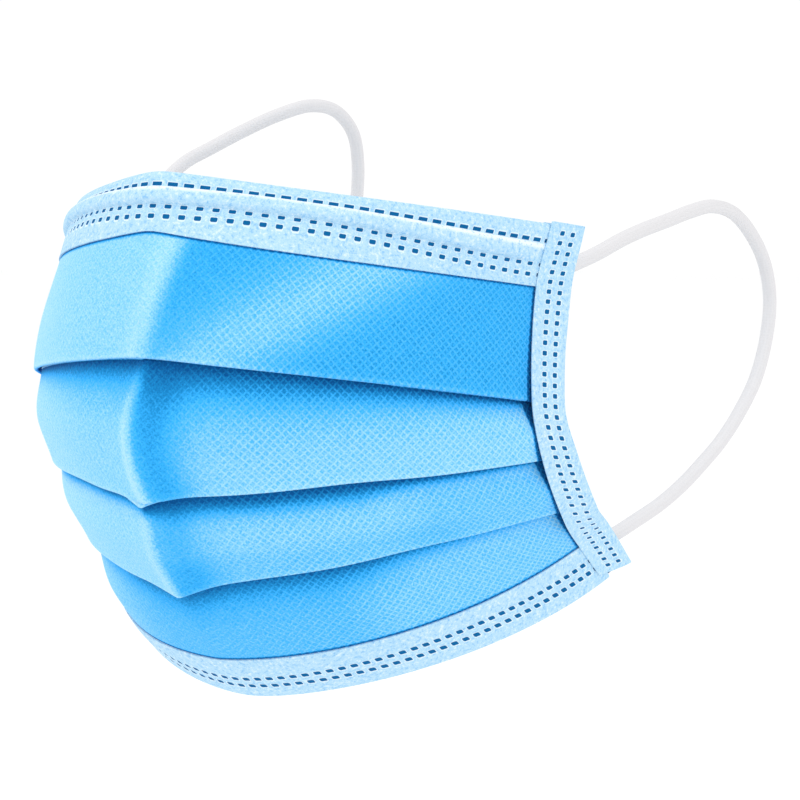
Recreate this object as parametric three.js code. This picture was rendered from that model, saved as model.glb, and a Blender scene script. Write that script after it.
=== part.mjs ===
// A pleated three-ply face mask, held open in the shape that it has on a face.
// Millimetres. +X is the wearer's left, +Y runs back to the ears, +Z is up.
// The origin is the middle of the opening that the face goes into.
import * as THREE from 'three';

const HALF_WIDTH = 90;        // half of every row, measured along the cloth
const ROW_REACH = 95;         // how far along the cloth a row is worked out
const WALL = 1;               // wall of the pleated cloth and of the edge strips
const GAP = 0.3;              // room between two layers that lie together
const PITCH = WALL + GAP;     // from the middle of one layer to the middle of the next
const CLOTH_END = 88.3;       // where the cloth stops inside a side binding
const HEM_END = 79.4;         // where a hem stops, just short of a side binding
const BINDING_START = 80;     // inner edge of a side binding, along the row
const BINDING_FOLD = 89.8;    // middle of a side binding's fold, along the row
const BINDING_ROUND = 1.4;    // how far before the fold a flap starts to turn
const DIRECTION_STEP = 0.5;   // half the step that finds a direction of the surface

// A row runs along the cloth from the middle of the mask to its side. Its height goes from
// centreZ to sideZ, and shape is the power that the drop grows with. It starts square across
// the face at centreY, turns back by noseTurn degrees, mostly within noseReach of the middle,
// and by sideTurn degrees evenly along its length.
const ROWS = table(
  ['name', 'centreZ', 'sideZ', 'shape', 'centreY', 'noseTurn', 'noseReach', 'sideTurn'],
  ['top edge', 44.3, 32.5, 0.95, -55.9, 23.1, 4, 54.1],
  ['top hem, lower edge', 33.9, 20.9, 0.87, -59.3, 42.7, 30, 30.9],
  ['first fold', 10.7, -0.4, 1.25, -63.6, 26.6, 30, 51],
  ['second fold', -15.8, -9.7, 0.8, -62.6, 20.6, 4, 53.8],
  ['third fold', -34.8, -19.5, 0.8, -49.8, 35.6, 30, 36.6],
  ['bottom hem, upper edge', -49, -26, 1.61, -36.1, 31.7, 30, 45.8],
  ['bottom edge', -57.8, -34.3, 1.42, -25, 19.8, 30, 62.5],
);
const TOP_HEM_ROW = 1;
const BOTTOM_HEM_ROW = 5;
const BOTTOM_ROW = 6;
const MIDDLE_SOFTNESS = 0.03;  // rounds the peak that a row has at the middle, as a share

// Each pleat hangs from one fold row. The tuck is how far its cloth goes back up behind it.
const PLEATS = table(
  ['row', 'centreTuck', 'sideTuck'],
  [2, 4, 10],
  [3, 4, 4.5],
  [4, 4, 5],
);
const EMERGE_START = 1.5;      // below a fold, where the next panel starts to come forward
const EMERGE_SHARE = 0.5;      // share of its height that a panel takes to come forward

const STATIONS = [0, 2, 5, 9, 14, 20, 27, 35, 43, 51, 59, 67, 75];

// The nose wire lies in a channel of the top hem.
const WIRE_TOP = 3.4;
const WIRE_WIDTH = 1.8;
const WIRE_HALF_LENGTH = 48;
const WIRE_THICKNESS = 0.8;
const CHANNEL_MARGIN = 0.6;    // room in the channel above and below the wire
const CHANNEL_SLOPE = 0.8;

// A side binding is slim at its corners and wider where it holds the folded cloth.
const BINDING_STATIONS = 30;
const BINDING_SWELL_START = 20;
const BINDING_SWELL_END = 71.5;
const BINDING_SWELL_RAMP = 3;

// The ear loops are round elastic. Their flattened ends are welded behind the bindings.
const LOOP_DIAMETER = 3;
const LOOP_SIDES = 8;
const LOOP_STEPS = 28;
const TAB_START = 82.4;
const TAB_END = 86.4;
const TAB_WIDTH = 3.6;
const TAB_THICKNESS = 0.8;
const TAB_PLACES = { top: 9.5, bottom: 83 };

// The routes of the loops, x, y and z, from the top weld back round the ear to the bottom one.
const LOOP_ROUTES = {
  left: [
    [50.5, 4, 24.5], [51.8, 13.5, 26.5], [53, 22.5, 28.5], [54.2, 31.5, 31], [55.4, 40.5, 33],
    [56.6, 50, 34.7], [57.8, 59, 36.4], [58.9, 68.5, 37.4], [60, 78, 35.8], [60.9, 86.5, 31],
    [61.5, 93, 24.5], [61.6, 96.3, 16.5], [61.1, 95.8, 8], [60.2, 92, -1], [59.1, 85.5, -8],
    [57.9, 78, -13.8], [56.7, 69.5, -18.4], [55.5, 61, -22.4], [54.3, 52, -25.6], [53, 43, -28],
    [51.7, 34, -30.2], [50.5, 26.8, -31.5],
  ],
  right: [
    [-50.5, 4, 24.5], [-51.6, 11, 29.5], [-52.5, 17.5, 35.5], [-52.6, 23.5, 41.6], [-51, 30, 46.6],
    [-47.8, 36.5, 50.1], [-43.5, 43.5, 54], [-38.5, 50, 57.5], [-34.5, 57, 59.6], [-32.5, 65, 58.6],
    [-32, 72.3, 53.7], [-33.3, 77, 46.5], [-34.8, 79, 38.3], [-36, 78.5, 30], [-37.2, 76, 21.8],
    [-38.8, 72.5, 13.5], [-40.8, 69, 6], [-43, 64.5, -1.5], [-45.2, 59.5, -8], [-47.3, 54, -14.5],
    [-49.1, 47.5, -20], [-50.4, 40.5, -24.6], [-50.9, 33.5, -28.6], [-50.5, 26.8, -31.5],
  ],
};

const CLOTH_BLUE = material(0x4fb2f2, 0.85);
const EDGE_WHITE = material(0xcfe5fa, 0.85);
const WIRE_WHITE = material(0xe8e8e4, 0.5);
const LOOP_WHITE = material(0xededf1, 0.8);

function table(columns, ...rows) {
  return rows.map((row) => Object.fromEntries(columns.map((column, i) => [column, row[i]])));
}

function material(color, roughness) {
  return new THREE.MeshStandardMaterial({ color, roughness, metalness: 0 });
}

const smooth = (share) => THREE.MathUtils.smoothstep(share, 0, 1);

// ---- The shape of the cloth ----

function rowHeight(row, along) {
  const share = (along / HALF_WIDTH) ** 2;
  const soft = MIDDLE_SOFTNESS ** 2;
  const drop = (share + soft) ** (row.shape / 2) - soft ** (row.shape / 2);
  return row.sideZ + (row.centreZ - row.sideZ) * (1 - drop);
}

function rowHeading(row, along) {
  const noseTurn = row.noseTurn * Math.tanh(along / row.noseReach);
  return THREE.MathUtils.degToRad(noseTurn + row.sideTurn * along / HALF_WIDTH);
}

// One point for each millimetre along a row.
function walkRow(row) {
  const points = [new THREE.Vector3(0, row.centreY, rowHeight(row, 0))];
  for (let along = 1; along <= ROW_REACH; along += 1) {
    const last = points[along - 1];
    const z = rowHeight(row, along);
    const level = Math.sqrt(1 - (z - last.z) ** 2);
    const heading = rowHeading(row, along - 0.5);
    points.push(new THREE.Vector3(last.x + level * Math.cos(heading),
      last.y + level * Math.sin(heading), z));
  }
  return points;
}

const WALKED_ROWS = ROWS.map(walkRow);

function rowPoint(row, along) {
  const points = WALKED_ROWS[row];
  const before = Math.min(Math.floor(along), ROW_REACH - 1);
  return points[before].clone().lerp(points[before + 1], along - before);
}

// The points where the rows cross the line at one distance from the middle, and how far
// down that line each of them is.
function profileAt(along) {
  const points = ROWS.map((row, i) => rowPoint(i, Math.abs(along)));
  const down = [0];
  for (let i = 1; i < points.length; i += 1) {
    down.push(down[i - 1] + points[i].distanceTo(points[i - 1]));
  }
  return { points, down };
}

function profileTangent({ points, down }, i) {
  const before = Math.max(i - 1, 0);
  const after = Math.min(i + 1, points.length - 1);
  return points[after].clone().sub(points[before]).divideScalar(down[after] - down[before]);
}

// A smooth line through the rows, carried on straight past the top and bottom edges.
function surface(along, down) {
  const profile = profileAt(along);
  const last = profile.points.length - 1;
  const end = down < 0 ? 0 : last;
  let point;
  if (down < 0 || down > profile.down[last]) {
    point = profile.points[end].clone()
      .addScaledVector(profileTangent(profile, end), down - profile.down[end]);
  } else {
    const next = Math.max(1, profile.down.findIndex((place) => place >= down));
    const height = profile.down[next] - profile.down[next - 1];
    const t = (down - profile.down[next - 1]) / height;
    const bend = t * t * (3 - 2 * t);
    point = profile.points[next - 1].clone().lerp(profile.points[next], bend)
      .addScaledVector(profileTangent(profile, next - 1), height * t * (1 - t) ** 2)
      .addScaledVector(profileTangent(profile, next), height * t * t * (t - 1));
  }
  if (along < 0) {
    point.x = -point.x;
  }
  return point;
}

// A point so far along, so far down, and so far out in front of the middle of the cloth.
function place(along, down, out) {
  const across = surface(along + DIRECTION_STEP, down).sub(surface(along - DIRECTION_STEP, down));
  const below = surface(along, down + DIRECTION_STEP).sub(surface(along, down - DIRECTION_STEP));
  return surface(along, down).addScaledVector(below.cross(across).normalize(), out);
}

// ---- Walls ----

// The line moved sideways, with its corners kept sharp.
function shifted(line, distance) {
  const edgeNormal = (i) => {
    const a = line[Math.max(0, Math.min(i, line.length - 2))];
    const b = line[Math.max(1, Math.min(i + 1, line.length - 1))];
    return new THREE.Vector2(a.y - b.y, b.x - a.x).normalize();
  };
  return line.map((point, i) => {
    const normal = edgeNormal(i - 1).add(edgeNormal(i)).normalize();
    const stretch = 1 / normal.dot(edgeNormal(i));
    return point.clone().addScaledVector(normal, distance * stretch);
  });
}

// A closed wall of even thickness along a line that changes from station to station.
function wall(stations, lineAt, toSpace, thickness = WALL) {
  const vertices = [];
  let count = 0;
  for (const station of stations) {
    const line = lineAt(station);
    count = line.length;
    for (const side of [thickness / 2, -thickness / 2]) {
      for (const point of shifted(line, side)) {
        vertices.push(toSpace(station, point));
      }
    }
  }
  const quads = [];
  const ring = 2 * count;
  for (let i = 0; i + 1 < stations.length; i += 1) {
    const near = i * ring;
    const far = near + ring;
    for (let j = 0; j + 1 < count; j += 1) {
      quads.push([near + j, near + j + 1, far + j + 1, far + j]);
      quads.push([near + count + j, far + count + j, far + count + j + 1, near + count + j + 1]);
    }
    quads.push([near + count, near, far, far + count]);
    quads.push([near + count - 1, near + ring - 1, far + ring - 1, far + count - 1]);
  }
  const end = (stations.length - 1) * ring;
  for (let j = 0; j + 1 < count; j += 1) {
    quads.push([j, count + j, count + j + 1, j + 1]);
    quads.push([end + j, end + j + 1, end + count + j + 1, end + count + j]);
  }
  return facingOut(vertices, quads);
}

function facingOut(vertices, quads) {
  const triangles = quads.flatMap(([a, b, c, d]) => [[a, b, c], [a, c, d]]);
  const volume = triangles.reduce((sum, [a, b, c]) => (
    sum + vertices[a].dot(vertices[b].clone().cross(vertices[c]))), 0);
  const ordered = volume > 0 ? triangles : triangles.map(([a, b, c]) => [a, c, b]);
  const geometry = new THREE.BufferGeometry().setFromPoints(vertices);
  geometry.setIndex(ordered.flat());
  geometry.computeVertexNormals();
  return geometry;
}

function bothWays(distances) {
  const mirrored = distances.filter((distance) => distance > 0).map((distance) => -distance);
  return [...mirrored.reverse(), ...distances];
}

const point = (x, y) => new THREE.Vector2(x, y);

// A half circle in three steps, from the front (out = 0) to the layer behind it.
// way is 1 where the cloth turns round below the centre, and -1 above it.
function hairpin(down, out, way, radius) {
  return [0, 1, 2, 3].map((step) => {
    const angle = step * Math.PI / 3;
    return point(down + way * radius * Math.sin(angle), out + radius * Math.cos(angle));
  });
}

// ---- The pieces ----

// The folded cloth from top to bottom: each pleat goes down, back up behind itself, and down
// again behind that, and then comes forward to the next fold.
function clothLine(along) {
  const { down } = profileAt(along);
  const line = [point(0, 0), point(down[TOP_HEM_ROW] / 2, 0), point(down[TOP_HEM_ROW], 0)];
  const side = Math.abs(along) / HALF_WIDTH;
  const radius = PITCH / 2;
  for (const { row, centreTuck, sideTuck } of PLEATS) {
    const fold = down[row] - radius - WALL / 2;
    const tuck = THREE.MathUtils.lerp(centreTuck, sideTuck, side);
    const height = down[row + 1] - down[row];
    if (row === PLEATS[0].row) {
      line.push(point((down[TOP_HEM_ROW] + fold) / 2, 0));
    }
    line.push(...hairpin(fold, -radius, 1, radius));
    line.push(...hairpin(fold - tuck, -PITCH - radius, -1, radius));
    line.push(point(fold, -2 * PITCH));
    const emerge = EMERGE_SHARE * height;
    for (const share of [0, 0.35, 0.65, 1]) {
      const out = -2 * PITCH * (1 - smooth(share));
      line.push(point(fold + EMERGE_START + share * (emerge - EMERGE_START), out));
    }
    line.push(point((fold + emerge + down[row + 1]) / 2, 0));
  }
  const hem = down[BOTTOM_HEM_ROW];
  line.push(point(hem, 0), point((hem + down[BOTTOM_ROW]) / 2, 0), point(down[BOTTOM_ROW], 0));
  return line;
}

function clothPanel() {
  return wall(bothWays([...STATIONS, BINDING_START + 1, CLOTH_END]), clothLine,
    (along, { x, y }) => place(along, x, y));
}

// The white strip folded over the top edge, with the channel that the nose wire lies in.
function topHemLine(along) {
  const edge = profileAt(along).down[TOP_HEM_ROW];
  const top = WIRE_TOP - CHANNEL_MARGIN;
  const bottom = WIRE_TOP + WIRE_WIDTH + CHANNEL_MARGIN;
  return [
    point(edge, PITCH),
    point(bottom + CHANNEL_SLOPE, PITCH),
    point(bottom, 2 * PITCH),
    point(top, 2 * PITCH),
    point(top - CHANNEL_SLOPE, PITCH),
    ...hairpin(0, 0, -1, PITCH),
    point(edge / 2, -PITCH),
    point(edge, -PITCH),
  ];
}

function bottomHemLine(along) {
  const { down } = profileAt(along);
  const start = down[BOTTOM_HEM_ROW];
  const edge = down[BOTTOM_ROW];
  return [
    point(start, PITCH),
    point((start + edge) / 2, PITCH),
    ...hairpin(edge, 0, 1, PITCH),
    point((start + edge) / 2, -PITCH),
    point(start, -PITCH),
  ];
}

function hem(lineAt) {
  return wall(bothWays([...STATIONS, HEM_END]), lineAt, (along, { x, y }) => place(along, x, y));
}

function noseWire() {
  const inside = STATIONS.filter((along) => along < WIRE_HALF_LENGTH);
  const line = [point(WIRE_TOP, PITCH), point(WIRE_TOP + WIRE_WIDTH, PITCH)];
  return wall(bothWays([...inside, WIRE_HALF_LENGTH]), () => line,
    (along, { x, y }) => place(along, x, y), WIRE_THICKNESS);
}

// The strip folded round one side of the mask, from the top corner to the bottom corner.
function sideBinding(side) {
  const bottom = profileAt(HALF_WIDTH).down[BOTTOM_ROW];
  const length = bottom + 2 * PITCH;
  const stations = Array.from({ length: BINDING_STATIONS + 1 },
    (item, i) => -PITCH + length * i / BINDING_STATIONS);
  const lineAt = (down) => {
    const swell = smooth((down - BINDING_SWELL_START) / BINDING_SWELL_RAMP)
      * smooth((BINDING_SWELL_END - down) / BINDING_SWELL_RAMP);
    const back = -PITCH - 2 * PITCH * swell;
    const turn = BINDING_FOLD - BINDING_ROUND;
    return [
      point(BINDING_START, PITCH),
      point((BINDING_START + turn) / 2, PITCH),
      point(turn, PITCH),
      point(BINDING_FOLD, PITCH / 2),
      point(BINDING_FOLD, back + PITCH / 2),
      point(turn, back),
      point((BINDING_START + turn) / 2, back),
      point(BINDING_START, back),
    ];
  };
  return wall(stations, lineAt, (down, { x, y }) => place(side * x, down, y));
}

// The flattened end of an ear loop, flat on the back of a binding.
function weldTab(side, down) {
  const out = -PITCH - WALL / 2 - GAP - TAB_THICKNESS / 2;
  const line = [point(TAB_START, out), point(TAB_END, out)];
  return wall([down - TAB_WIDTH / 2, down + TAB_WIDTH / 2], () => line,
    (station, { x, y }) => place(side * x, station, y), TAB_THICKNESS);
}

function earLoop(route) {
  const corners = Array.from({ length: LOOP_SIDES }, (item, i) => {
    const angle = 2 * Math.PI * i / LOOP_SIDES;
    return point(Math.cos(angle), Math.sin(angle)).multiplyScalar(LOOP_DIAMETER / 2);
  });
  const points = route.map((coordinates) => new THREE.Vector3(...coordinates));
  return new THREE.ExtrudeGeometry(new THREE.Shape(corners), {
    steps: LOOP_STEPS,
    bevelEnabled: false,
    extrudePath: new THREE.CatmullRomCurve3(points, false, 'centripetal'),
  });
}

const mask = new THREE.Group();

function add(name, geometry, finish) {
  const mesh = new THREE.Mesh(geometry, finish.clone());
  mesh.name = name;
  mask.add(mesh);
}

add('pleated_cloth', clothPanel(), CLOTH_BLUE);
add('top_hem', hem(topHemLine), EDGE_WHITE);
add('bottom_hem', hem(bottomHemLine), EDGE_WHITE);
add('nose_wire', noseWire(), WIRE_WHITE);
for (const [name, side] of [['left', 1], ['right', -1]]) {
  add(`side_binding_${name}`, sideBinding(side), EDGE_WHITE);
  for (const [end, down] of Object.entries(TAB_PLACES)) {
    add(`loop_weld_${name}_${end}`, weldTab(side, down), LOOP_WHITE);
  }
  add(`ear_loop_${name}`, earLoop(LOOP_ROUTES[name]), LOOP_WHITE);
}

export default mask;
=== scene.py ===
"""A pleated face mask: cloth with three folded pleats, white edge strips and round ear loops."""
import math

import bpy
import numpy as np
from bpy.props import FloatProperty, FloatVectorProperty, IntProperty, PointerProperty
from mathutils import Matrix, Vector


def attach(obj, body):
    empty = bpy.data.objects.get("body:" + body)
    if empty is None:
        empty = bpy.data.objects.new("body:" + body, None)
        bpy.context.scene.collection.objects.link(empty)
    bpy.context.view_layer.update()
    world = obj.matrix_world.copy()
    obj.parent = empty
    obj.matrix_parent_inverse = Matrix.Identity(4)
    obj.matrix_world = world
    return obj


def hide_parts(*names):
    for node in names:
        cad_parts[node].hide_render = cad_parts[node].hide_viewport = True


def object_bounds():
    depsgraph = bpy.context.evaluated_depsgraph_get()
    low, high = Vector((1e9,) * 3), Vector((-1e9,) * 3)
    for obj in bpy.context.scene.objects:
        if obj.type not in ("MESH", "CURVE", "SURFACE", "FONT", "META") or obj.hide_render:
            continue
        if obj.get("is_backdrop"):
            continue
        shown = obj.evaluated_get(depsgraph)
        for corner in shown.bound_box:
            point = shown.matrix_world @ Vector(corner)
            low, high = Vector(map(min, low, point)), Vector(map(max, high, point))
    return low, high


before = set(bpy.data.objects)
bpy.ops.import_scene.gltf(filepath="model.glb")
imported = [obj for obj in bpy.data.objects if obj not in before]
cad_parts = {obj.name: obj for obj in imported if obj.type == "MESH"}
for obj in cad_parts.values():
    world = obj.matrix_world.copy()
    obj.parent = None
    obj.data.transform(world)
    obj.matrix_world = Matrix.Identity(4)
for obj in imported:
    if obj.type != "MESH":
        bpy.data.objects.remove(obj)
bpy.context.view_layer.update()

bl_info = {
    "name": "Pleated Face Mask",
    "version": (1, 0, 0),
    "blender": (4, 5, 0),
    "location": "View3D > Sidebar > Face Mask",
    "description": "Makes the cloth, edge strips, ear loops and studio of a pleated face mask",
    "category": "Add Mesh",
}

MM = 0.001

# The shape of the cloth, in millimetres, the same as in the solid model.
HALF_WIDTH = 90
ROW_REACH = 96
WALK_STEP = 0.25
MIDDLE_SOFTNESS = 0.03
# centre z, side z, shape, centre y, nose turn, nose reach, side turn
ROWS = {
    "top edge": (44.3, 32.5, 0.95, -55.9, 23.1, 4, 54.1),
    "top hem, lower edge": (33.9, 20.9, 0.87, -59.3, 42.7, 30, 30.9),
    "first fold": (10.7, -0.4, 1.25, -63.6, 26.6, 30, 51),
    "second fold": (-15.8, -9.7, 0.8, -62.6, 20.6, 4, 53.8),
    "third fold": (-34.8, -19.5, 0.8, -49.8, 35.6, 30, 36.6),
    "bottom hem, upper edge": (-49, -26, 1.61, -36.1, 31.7, 30, 45.8),
    "bottom edge": (-57.8, -34.3, 1.42, -25, 19.8, 30, 62.5),
}
TOP_HEM_ROW, FOLD_ROWS, BOTTOM_HEM_ROW, BOTTOM_ROW = 1, (2, 3, 4), 5, 6
# tuck behind each fold, at the middle and at the side
TUCKS = ((4, 10), (4, 4.5), (4, 5))
CLOTH_END = 88.3                # where the cloth ends inside the binding
BINDING_START = 80.0            # where the binding's front flap starts
# How sharp the crease down the middle is, from the top edge (0) to the bottom edge (6).
RIDGE_ROWS = (0, 1, 1.6, 2.1, 3, 3.97, 4.1, 5.2, 6)
RIDGE_STRENGTHS = (0, 0.15, 0.4, 1, 1, 0.9, 0.15, 0.05, 0)

# The routes of the ear loops, in metres.
LEFT_ROUTE = (
    (0.0505, 0.004, 0.0245), (0.0518, 0.0135, 0.0265), (0.053, 0.0225, 0.0285),
    (0.0542, 0.0315, 0.031), (0.0554, 0.0405, 0.033), (0.0566, 0.05, 0.0347),
    (0.0578, 0.059, 0.0364), (0.0589, 0.0685, 0.0374), (0.06, 0.078, 0.0358),
    (0.0609, 0.0865, 0.031), (0.0615, 0.093, 0.0245), (0.0616, 0.0963, 0.0165),
    (0.0611, 0.0958, 0.008), (0.0602, 0.092, -0.001), (0.0591, 0.0855, -0.008),
    (0.0579, 0.078, -0.0138), (0.0567, 0.0695, -0.0184), (0.0555, 0.061, -0.0224),
    (0.0543, 0.052, -0.0256), (0.053, 0.043, -0.028), (0.0517, 0.034, -0.0302),
    (0.0505, 0.0268, -0.0315),
)
RIGHT_ROUTE = (
    (-0.0505, 0.004, 0.0245), (-0.0516, 0.011, 0.0295), (-0.0525, 0.0175, 0.0355),
    (-0.0526, 0.0235, 0.0416), (-0.051, 0.03, 0.0466), (-0.0478, 0.0365, 0.0501),
    (-0.0435, 0.0435, 0.054), (-0.0385, 0.05, 0.0575), (-0.0345, 0.057, 0.0596),
    (-0.0325, 0.065, 0.0586), (-0.032, 0.0723, 0.0537), (-0.0333, 0.077, 0.0465),
    (-0.0348, 0.079, 0.0383), (-0.036, 0.0785, 0.03), (-0.0372, 0.076, 0.0218),
    (-0.0388, 0.0725, 0.0135), (-0.0408, 0.069, 0.006), (-0.043, 0.0645, -0.0015),
    (-0.0452, 0.0595, -0.008), (-0.0473, 0.054, -0.0145), (-0.0491, 0.0475, -0.02),
    (-0.0504, 0.0405, -0.0246), (-0.0509, 0.0335, -0.0286), (-0.0505, 0.0268, -0.0315),
)
TAB_DOWNS = {"top": 9.5, "bottom": 83}


# ---------------------------------------------------------------- settings

def colour(name, description, default):
    """A colour that can be changed in the sidebar."""
    return FloatVectorProperty(
        name=name, description=description, default=default, subtype="COLOR", size=3, min=0, max=1)


def length(name, description, default):
    """A length that can be changed in the sidebar."""
    return FloatProperty(name=name, description=description, default=default, unit="LENGTH", min=0)


class ClothSettings(bpy.types.PropertyGroup):
    thickness: length("Thickness", "Thickness of the three layers together", 0.0004)
    layer_step: length("Layer step", "From one folded layer to the next", 0.0008)
    diamond: length("Diamond", "Width of one embossed diamond", 0.00155)
    # palest to deepest are one scale of painted light and shade: palest is a painted highlight on
    # the crease, pale the lit cloth, middle to deepest painted shade, and deepest the painted
    # shadow right under a fold
    palest: colour("Palest", "Cloth whitened by a crease", (0.42, 0.74, 0.96))
    pale: colour("Pale", "Cloth in full light", (0.27, 0.64, 0.94))
    middle: colour("Middle", "Slack cloth", (0.10, 0.49, 0.95))
    strong: colour("Strong", "Cloth close to the layer under it", (0.034, 0.42, 0.93))
    deep: colour("Deep", "Cloth near a fold", (0.008, 0.25, 0.60))
    deepest: colour("Deepest", "Cloth right under a fold", (0.0, 0.09, 0.30))
    inside: colour("Inside", "The layer against the face", (0.80, 0.85, 0.90))


class StripSettings(bpy.types.PropertyGroup):
    thickness: length("Thickness", "Thickness of one edge strip", 0.00035)
    cloth: colour("Cloth", "Cloth of the strips", (0.42, 0.66, 0.84))
    # bright: the colour of the painted highlight along the top of the nose-wire bulge, and of the
    # pale flecks of the speckle
    bright: colour("Bright", "Cloth stretched over the nose wire", (0.78, 0.88, 0.96))
    weld: colour("Weld", "Cloth melted clear in a weld dash", (0.0, 0.12, 0.32))
    pitch: length("Top dash pitch", "From one dash of the top hem to the next", 0.00298)
    bottom_pitch: length(
        "Bottom dash pitch", "From one dash of the bottom hem to the next", 0.00244)
    side_pitch: length("Side dash pitch", "From one binding dash to the next", 0.00207)
    press: length("Press depth", "How deep a weld dash is pressed", 0.00022)


class LoopSettings(bpy.types.PropertyGroup):
    diameter: length("Diameter", "Diameter of the round elastic", 0.003)
    cover: colour("Cover", "Knitted cover of the elastic", (0.70, 0.695, 0.71))
    sides: IntProperty(name="Sides", description="Sides of the elastic", default=24, min=8)


class StudioSettings(bpy.types.PropertyGroup):
    floor_drop: length("Floor drop", "From the lowest point of the mask to the floor", 0.14)
    floor: colour("Floor", "Pale floor", (0.98, 0.98, 0.98))


# ---------------------------------------------------------------- the shape of the cloth

def row_height(row, along):
    """How high a row lies, at each distance along the cloth from the middle."""
    centre, side, shape = row[:3]
    soft = MIDDLE_SOFTNESS ** 2
    drop = ((along / HALF_WIDTH) ** 2 + soft) ** (shape / 2) - soft ** (shape / 2)
    return side + (centre - side) * (1 - drop)


def walk_row(row):
    """Points along one row from the middle to the side, a small step apart."""
    centre_y, nose_turn, nose_reach, side_turn = row[3:]
    along = np.arange(0, ROW_REACH + WALK_STEP, WALK_STEP)
    z = row_height(row, along)
    level = np.sqrt(WALK_STEP ** 2 - np.diff(z) ** 2)
    middle = along[1:] - WALK_STEP / 2
    turn = nose_turn * np.tanh(middle / nose_reach) + side_turn * middle / HALF_WIDTH
    x = np.concatenate([[0], np.cumsum(level * np.cos(np.radians(turn)))])
    y = centre_y + np.concatenate([[0], np.cumsum(level * np.sin(np.radians(turn)))])
    return np.stack([x, y, z], 1)


WALKED = np.stack([walk_row(row) for row in ROWS.values()])


def profile(along):
    """Where the rows cross the line at each distance from the middle, and how far down it."""
    steps = np.abs(along) / WALK_STEP
    before = np.minimum(steps.astype(int), WALKED.shape[1] - 2)
    share = (steps - before)[..., None]
    points = WALKED[:, before] * (1 - share) + WALKED[:, before + 1] * share
    gaps = np.linalg.norm(np.diff(points, axis=0), axis=-1)
    down = np.concatenate([np.zeros_like(gaps[:1]), np.cumsum(gaps, axis=0)])
    return points, down


def surface(along, down):
    """Points of the middle of the cloth, in millimetres."""
    along, down = np.broadcast_arrays(np.asarray(along, float), np.asarray(down, float))
    points, places = profile(along)
    last = len(points) - 1
    tangents = np.empty_like(points)
    for i in range(last + 1):
        a, b = max(i - 1, 0), min(i + 1, last)
        tangents[i] = (points[b] - points[a]) / (places[b] - places[a])[..., None]
    i = np.clip((down[None] >= places).sum(0) - 1, 0, last - 1)

    def pick(values, index):
        shaped = index[None, ..., None] if values.ndim > index.ndim + 1 else index[None]
        return np.take_along_axis(values, shaped, 0)[0]

    start, height = pick(places, i), pick(places, i + 1) - pick(places, i)
    t = np.clip((down - start) / height, 0, 1)[..., None]
    height = height[..., None]
    found = (pick(points, i) * (1 - t * t * (3 - 2 * t)) + pick(points, i + 1) * t * t * (3 - 2 * t)
             + pick(tangents, i) * height * t * (1 - t) ** 2
             + pick(tangents, i + 1) * height * t * t * (t - 1))
    beyond = np.minimum(down, 0)[..., None]
    found += tangents[0] * beyond + tangents[last] * np.maximum(down - places[last], 0)[..., None]
    found[..., 0] *= np.where(along < 0, -1, 1)
    return found


def place(along, down, out):
    """Points so far out in front of the middle of the cloth, in millimetres."""
    step = 0.5
    across = surface(along + step, down) - surface(along - step, down)
    below = surface(along, down + step) - surface(along, down - step)
    normal = np.cross(below, across)
    normal /= np.linalg.norm(normal, axis=-1)[..., None]
    return surface(along, down) + normal * np.asarray(out)[..., None]


def smooth(x):
    """0 up to 0, 1 from 1 on, and an even curve between."""
    x = np.clip(x, 0, 1)
    return x * x * (3 - 2 * x)


def hump(x, centre, width):
    """1 at the centre, falling away to 0 on both sides."""
    return np.exp(-((x - centre) / width) ** 2)


def row_share(along, down):
    """How far down a point is, in rows: 0 at the top edge, 2 to 4 at the folds, 6 at the bottom."""
    places = profile(np.asarray(along, float))[1]
    i = np.clip((down[None] >= places).sum(0) - 1, 0, len(places) - 2)
    start = np.take_along_axis(places, i[None], 0)[0]
    end = np.take_along_axis(places, i[None] + 1, 0)[0]
    return i + (down - start) / (end - start)


def ridge_along(share):
    """Where the crease and its painted highlight run: the painted highlight leans in the first
    panel, where the crease itself stays in the middle, and both bow in the second.
    """
    lean = 4.5 - 6.5 * (share - 1)
    bow = 0.9 - 2.8 * np.sin(math.pi * np.clip(share - 2, 0, 1))
    return np.where(share < 1, 0, np.where(share < 2, lean, np.where(share < 3, bow, -0.3)))


def relief(along, down):
    """The crease down the middle, the hollows beside it, and the slack waves of the cloth."""
    share = row_share(along, down)
    crease = np.interp(share, RIDGE_ROWS, RIDGE_STRENGTHS)
    beside = np.abs(along - np.where(share > 2, ridge_along(share), 0))
    ridge = 1.5 * np.exp(-beside / 2.6) - 0.35 * hump(beside, 8, 4.5)
    free = (smooth((share - 1.05) / 0.6) * smooth((5 - share) / 0.5)
            * smooth((BINDING_START - np.abs(along)) / 14))
    waves = (0.35 * np.sin(along / 8.5 + 0.9 * share) * np.sin(1.7 * share + 0.4)
             + 0.22 * np.sin(along / 5.1 - 1.3 * share + 1.0))
    return crease * ridge + free * waves


# ---------------------------------------------------------------- making meshes

def active(obj):
    """Selects one object alone."""
    bpy.ops.object.select_all(action="DESELECT")
    obj.select_set(True)
    bpy.context.view_layer.objects.active = obj


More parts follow.
